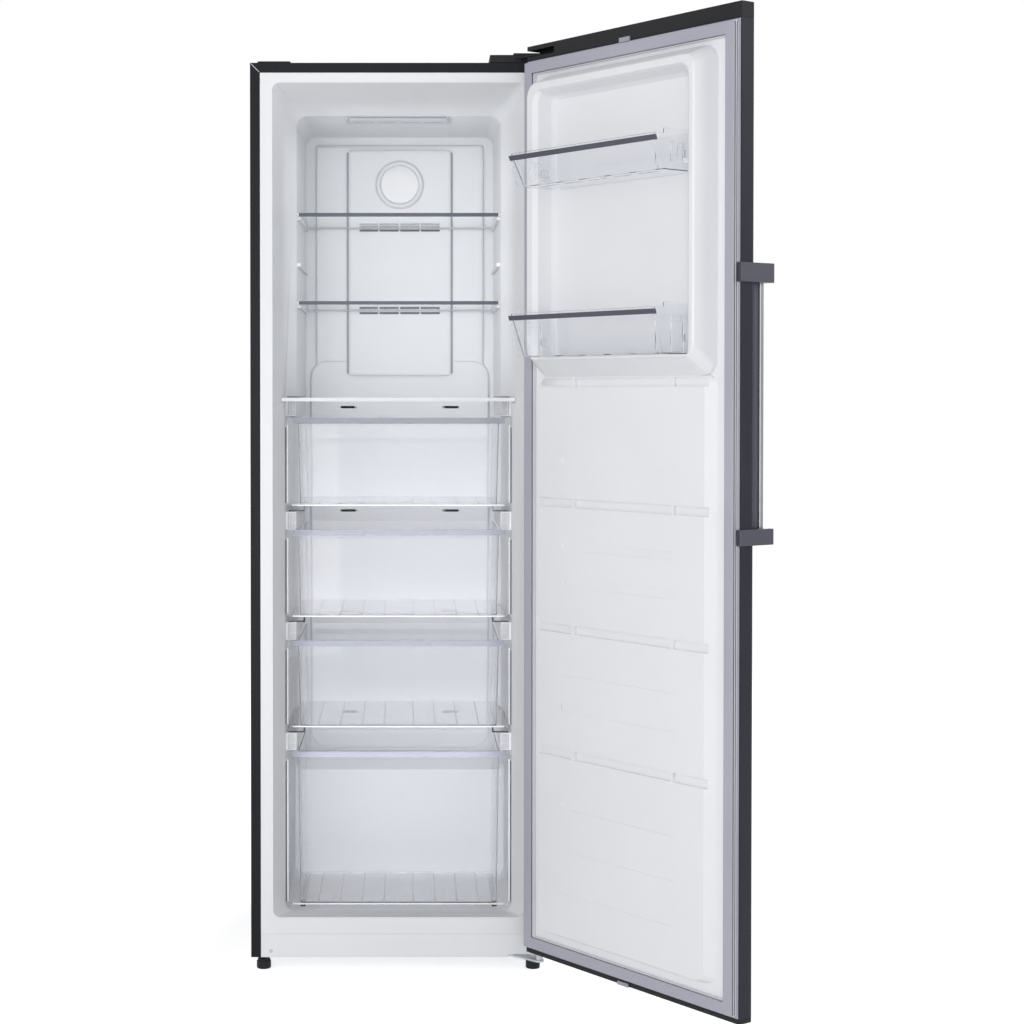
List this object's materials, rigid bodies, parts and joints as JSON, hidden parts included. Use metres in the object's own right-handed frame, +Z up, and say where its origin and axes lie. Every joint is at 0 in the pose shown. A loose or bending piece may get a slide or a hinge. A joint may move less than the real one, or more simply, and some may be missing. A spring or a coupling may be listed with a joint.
{
  "type": "upright freezer",
  "caption": "Tall upright freezer with its right-hung door standing open: glass shelves over clear drawers, clear door bins and a bar handle at the free edge of the door.",
  "frame": {"origin": "centre of the footprint of the rest pose, door open, at floor level", "axes": "+Z up, the door side faces -Y, +X is to the right of someone who faces the open cabinet"},
  "size_m": [0.9708, 1.1222, 1.8545],
  "materials": {
    "casing_steel": "satin charcoal paint",
    "black_plastic": "matt",
    "white_liner": "smooth, soft sheen",
    "grey_trim": "satin",
    "gasket_rubber": "matt",
    "clear_plastic": "clear, glossy",
    "shelf_glass": "clear",
    "bar_steel": "brushed",
    "zinc_steel": "zinc plated",
    "foam": "matt",
    "aluminium": "satin",
    "compressor_paint": "semi-gloss",
    "black_rubber": "matt"
  },
  "bodies": {
    "cabinet": {"outer_wrapper": "casing_steel", "back_panel": "zinc_steel", "cabinet_insulation": "foam", "inner_liner": "white_liner", "compressor_step_panel": "zinc_steel", "base_frame": "zinc_steel", "toe_panel": "white_liner", "bottom_hinge_bracket": "zinc_steel", "top_hinge_bracket": "zinc_steel", "top_hinge_cover": "black_plastic", "blank_hinge_cap": "black_plastic", "compressor": "compressor_paint", "drip_tray": "black_plastic", "machine_cover": "zinc_steel", "cable_gland": "black_rubber", "roller_axle_left": "zinc_steel", "roller_axle_right": "zinc_steel", "evaporator": "aluminium", "fan_motor": "black_plastic", "rear_duct_cover": "white_liner", "lower_duct_cover": "white_liner", "multi_flow_panel": "white_liner", "fan_medallion": "white_liner", "lamp_housing": "clear_plastic", "shelf_glass_upper": "shelf_glass", "shelf_front_trim_upper": "grey_trim", "shelf_rear_trim_upper": "white_liner", "shelf_glass_lower": "shelf_glass", "shelf_front_trim_lower": "grey_trim", "shelf_rear_trim_lower": "white_liner", "drawer_cover_glass": "shelf_glass", "drawer_cover_trim": "white_liner"},
    "door": {"door_skin": "casing_steel", "door_top_cap": "black_plastic", "door_bottom_cap": "black_plastic", "door_insulation": "foam", "door_liner": "white_liner", "door_gasket": "gasket_rubber", "cap_plug_top": "grey_trim", "cap_plug_bottom": "grey_trim", "door_bin_upper": "clear_plastic", "bin_trim_upper": "grey_trim", "handle_bracket_upper": "grey_trim", "door_bin_lower": "clear_plastic", "bin_trim_lower": "grey_trim", "handle_bracket_lower": "grey_trim", "handle_bar": "bar_steel"},
    "drawer_1": {"drawer_tub_1": "clear_plastic", "drawer_front_1": "clear_plastic"},
    "drawer_2": {"drawer_tub_2": "clear_plastic", "drawer_front_2": "clear_plastic"},
    "drawer_3": {"drawer_tub_3": "clear_plastic", "drawer_front_3": "clear_plastic"},
    "drawer_4": {"drawer_tub_4": "clear_plastic", "drawer_front_4": "clear_plastic"},
    "fan": {"fan_impeller": "black_plastic"},
    "foot_left": {"front_foot_left": "black_plastic"},
    "roller_left": {"rear_roller_left": "black_plastic"},
    "foot_right": {"front_foot_right": "black_plastic"},
    "roller_right": {"rear_roller_right": "black_plastic"}
  },
  "joints": [
    {"name": "door_hinge", "type": "hinge", "parent": "cabinet", "child": "door", "pos_m": [0.0944, -0.07571, 0.9], "axis": [0, 0, 1], "range_deg": [-126, 0]},
    {"name": "drawer_1_slide", "type": "slide", "parent": "cabinet", "child": "drawer_1", "axis": [0, -1, 0], "range_m": [0, 0.3]},
    {"name": "drawer_2_slide", "type": "slide", "parent": "cabinet", "child": "drawer_2", "axis": [0, -1, 0], "range_m": [0, 0.3]},
    {"name": "drawer_3_slide", "type": "slide", "parent": "cabinet", "child": "drawer_3", "axis": [0, -1, 0], "range_m": [0, 0.3]},
    {"name": "drawer_4_slide", "type": "slide", "parent": "cabinet", "child": "drawer_4", "axis": [0, -1, 0], "range_m": [0, 0.24]},
    {"name": "fan_spin", "type": "hinge", "parent": "cabinet", "child": "fan", "pos_m": [-0.1879, 0.44619, 1.632], "axis": [0, -1, 0], "continuous": true},
    {"name": "foot_left_turn", "type": "hinge", "parent": "cabinet", "child": "foot_left", "pos_m": [-0.4609, -0.02281, 0.02], "axis": [0, 0, 1], "continuous": true},
    {"name": "roller_left_spin", "type": "hinge", "parent": "cabinet", "child": "roller_left", "pos_m": [-0.4499, 0.51819, 0.016], "axis": [1, 0, 0], "continuous": true},
    {"name": "foot_right_turn", "type": "hinge", "parent": "cabinet", "child": "foot_right", "pos_m": [0.0851, -0.02281, 0.02], "axis": [0, 0, 1], "continuous": true},
    {"name": "roller_right_spin", "type": "hinge", "parent": "cabinet", "child": "roller_right", "pos_m": [0.0741, 0.51819, 0.016], "axis": [1, 0, 0], "continuous": true}
  ]
}
